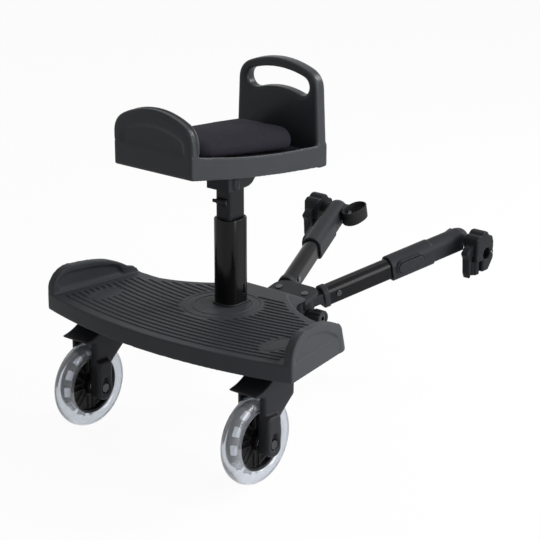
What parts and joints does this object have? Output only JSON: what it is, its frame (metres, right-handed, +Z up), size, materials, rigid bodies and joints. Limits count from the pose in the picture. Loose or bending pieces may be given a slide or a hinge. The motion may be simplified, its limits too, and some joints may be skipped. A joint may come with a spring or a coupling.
{
  "type": "buggy board",
  "caption": "Ride-on board for the back of a pushchair: ridged deck on swivelling casters, seat on a sliding post, and telescopic arms that end in tube clamps.",
  "frame": {"origin": "centre of the bounding box at floor level", "axes": "+Z up from the floor, +Y ahead from the wheels to the arms and the pushchair, X across the board with +X on its right-hand side"},
  "size_m": [0.426, 0.5838, 0.491],
  "materials": {
    "deck_plastic": "moulded black plastic, fine grain",
    "seat_plastic": "moulded black plastic, satin",
    "fork_plastic": "moulded black plastic, satin",
    "rim_plastic": "moulded black plastic, satin",
    "clear_tyre": "clear cast polyurethane",
    "light_unit": "pale translucent caps",
    "steel": "zinc plated steel",
    "post_gloss": "gloss black tube",
    "arm_paint": "satin black tube",
    "arm_plastic": "moulded black nylon, satin",
    "clamp_plastic": "moulded black nylon, satin",
    "webbing": "black woven webbing",
    "cushion_fabric": "dark padded fabric"
  },
  "bodies": {
    "board": {"deck_shell": "deck_plastic", "caster_bushes": "fork_plastic", "pivot_sleeves": "arm_plastic", "pivot_bolt": "steel", "post_outer": "post_gloss", "post_foot": "deck_plastic", "post_guide": "arm_plastic", "post_cross_bolt": "steel"},
    "seat": {"post_inner": "post_gloss", "seat_bracket": "seat_plastic", "seat_shell": "seat_plastic", "seat_cushion": "cushion_fabric", "seat_screws": "steel"},
    "release": {"release_tab": "arm_plastic"},
    "hub": {"hub_housing": "arm_plastic", "hub_cover": "arm_plastic", "arm_pins": "steel"},
    "caster_right": {"caster_fork_right": "fork_plastic", "caster_stem_right": "steel", "axle_bolt_right": "steel", "axle_nut_right": "steel"},
    "wheel_right": {"tyre_right": "clear_tyre", "wheel_rim_right": "rim_plastic", "light_units_right": "light_unit", "wheel_bearings_right": "steel"},
    "arm_right": {"arm_tube_right": "arm_paint", "arm_knuckle_right": "arm_plastic", "arm_rivet_right": "steel"},
    "sleeve_right": {"arm_sleeve_right": "arm_plastic"},
    "button_right": {"sleeve_button_right": "arm_plastic"},
    "clamp_right": {"clamp_body_right": "clamp_plastic", "clamp_hinge_pin_right": "steel"},
    "jaw_right": {"clamp_jaw_right": "clamp_plastic"},
    "knob_right": {"clamp_knob_right": "clamp_plastic"},
    "caster_left": {"caster_fork_left": "fork_plastic", "caster_stem_left": "steel", "axle_bolt_left": "steel", "axle_nut_left": "steel"},
    "wheel_left": {"tyre_left": "clear_tyre", "wheel_rim_left": "rim_plastic", "light_units_left": "light_unit", "wheel_bearings_left": "steel"},
    "arm_left": {"arm_tube_left": "arm_paint", "arm_knuckle_left": "arm_plastic", "arm_rivet_left": "steel"},
    "sleeve_left": {"arm_sleeve_left": "arm_plastic", "strap_loop": "webbing", "strap_screw": "steel"},
    "button_left": {"sleeve_button_left": "arm_plastic"},
    "clamp_left": {"clamp_body_left": "clamp_plastic", "clamp_hinge_pin_left": "steel"},
    "jaw_left": {"clamp_jaw_left": "clamp_plastic"},
    "knob_left": {"clamp_knob_left": "clamp_plastic"}
  },
  "joints": [
    {"name": "seat_height", "type": "slide", "parent": "board", "child": "seat", "axis": [0, 0, 1], "range_m": [0, 0.06]},
    {"name": "release_press", "type": "slide", "parent": "seat", "child": "release", "axis": [0, 1, 0], "range_m": [0, 0.003], "stiffness_N_per_m": 600},
    {"name": "hub_pitch", "type": "hinge", "parent": "board", "child": "hub", "pos_m": [0, 0.0253, 0.126], "axis": [1, 0, 0], "range_deg": [-20, 48]},
    {"name": "caster_swivel_right", "type": "hinge", "parent": "board", "child": "caster_right", "pos_m": [0.147, -0.2147, 0.15], "axis": [0, 0, 1], "continuous": true},
    {"name": "wheel_spin_right", "type": "hinge", "parent": "caster_right", "child": "wheel_right", "pos_m": [0.147, -0.2317, 0.06], "axis": [1, 0, 0], "continuous": true},
    {"name": "arm_spread_right", "type": "hinge", "parent": "hub", "child": "arm_right", "pos_m": [0.0227, 0.0258, 0.14287], "axis": [0, 0.2079, -0.9781], "range_deg": [-10, 14]},
    {"name": "arm_reach_right", "type": "slide", "parent": "arm_right", "child": "sleeve_right", "axis": [0.3322, 0.9226, 0.1961], "range_m": [-0.04, 0.03]},
    {"name": "button_press_right", "type": "slide", "parent": "sleeve_right", "child": "button_right", "axis": [-0.9432, 0.3249, 0.0691], "range_m": [0, 0.002], "stiffness_N_per_m": 500},
    {"name": "clamp_turn_right", "type": "hinge", "parent": "sleeve_right", "child": "clamp_right", "pos_m": [0.14573, 0.26753, 0.19425], "axis": [1, 0, 0], "range_deg": [-90, 90]},
    {"name": "jaw_open_right", "type": "hinge", "parent": "clamp_right", "child": "jaw_right", "pos_m": [0.14573, 0.28473, 0.17925], "axis": [1, 0, 0], "range_deg": [0, 27]},
    {"name": "knob_turn_right", "type": "hinge", "parent": "jaw_right", "child": "knob_right", "pos_m": [0.14573, 0.25453, 0.17925], "axis": [0, 0, 1], "range_deg": [0, 2880]},
    {"name": "caster_swivel_left", "type": "hinge", "parent": "board", "child": "caster_left", "pos_m": [-0.147, -0.2147, 0.15], "axis": [0, 0, 1], "continuous": true},
    {"name": "wheel_spin_left", "type": "hinge", "parent": "caster_left", "child": "wheel_left", "pos_m": [-0.147, -0.2317, 0.06], "axis": [1, 0, 0], "continuous": true},
    {"name": "arm_spread_left", "type": "hinge", "parent": "hub", "child": "arm_left", "pos_m": [-0.0227, 0.0258, 0.14287], "axis": [0, -0.2079, 0.9781], "range_deg": [-10, 14]},
    {"name": "arm_reach_left", "type": "slide", "parent": "arm_left", "child": "sleeve_left", "axis": [-0.3322, 0.9226, 0.1961], "range_m": [-0.04, 0.03]},
    {"name": "button_press_left", "type": "slide", "parent": "sleeve_left", "child": "button_left", "axis": [0.9432, 0.3249, 0.0691], "range_m": [0, 0.002], "stiffness_N_per_m": 500},
    {"name": "clamp_turn_left", "type": "hinge", "parent": "sleeve_left", "child": "clamp_left", "pos_m": [-0.14573, 0.26753, 0.19425], "axis": [1, 0, 0], "range_deg": [-90, 90]},
    {"name": "jaw_open_left", "type": "hinge", "parent": "clamp_left", "child": "jaw_left", "pos_m": [-0.14573, 0.28473, 0.17925], "axis": [1, 0, 0], "range_deg": [0, 27]},
    {"name": "knob_turn_left", "type": "hinge", "parent": "jaw_left", "child": "knob_left", "pos_m": [-0.14573, 0.25453, 0.17925], "axis": [0, 0, 1], "range_deg": [0, 2880]}
  ],
  "couplings": [
    {"joint": "jaw_open_right", "follows": "knob_turn_right", "ratio": 0.009375},
    {"joint": "jaw_open_left", "follows": "knob_turn_left", "ratio": 0.009375}
  ]
}
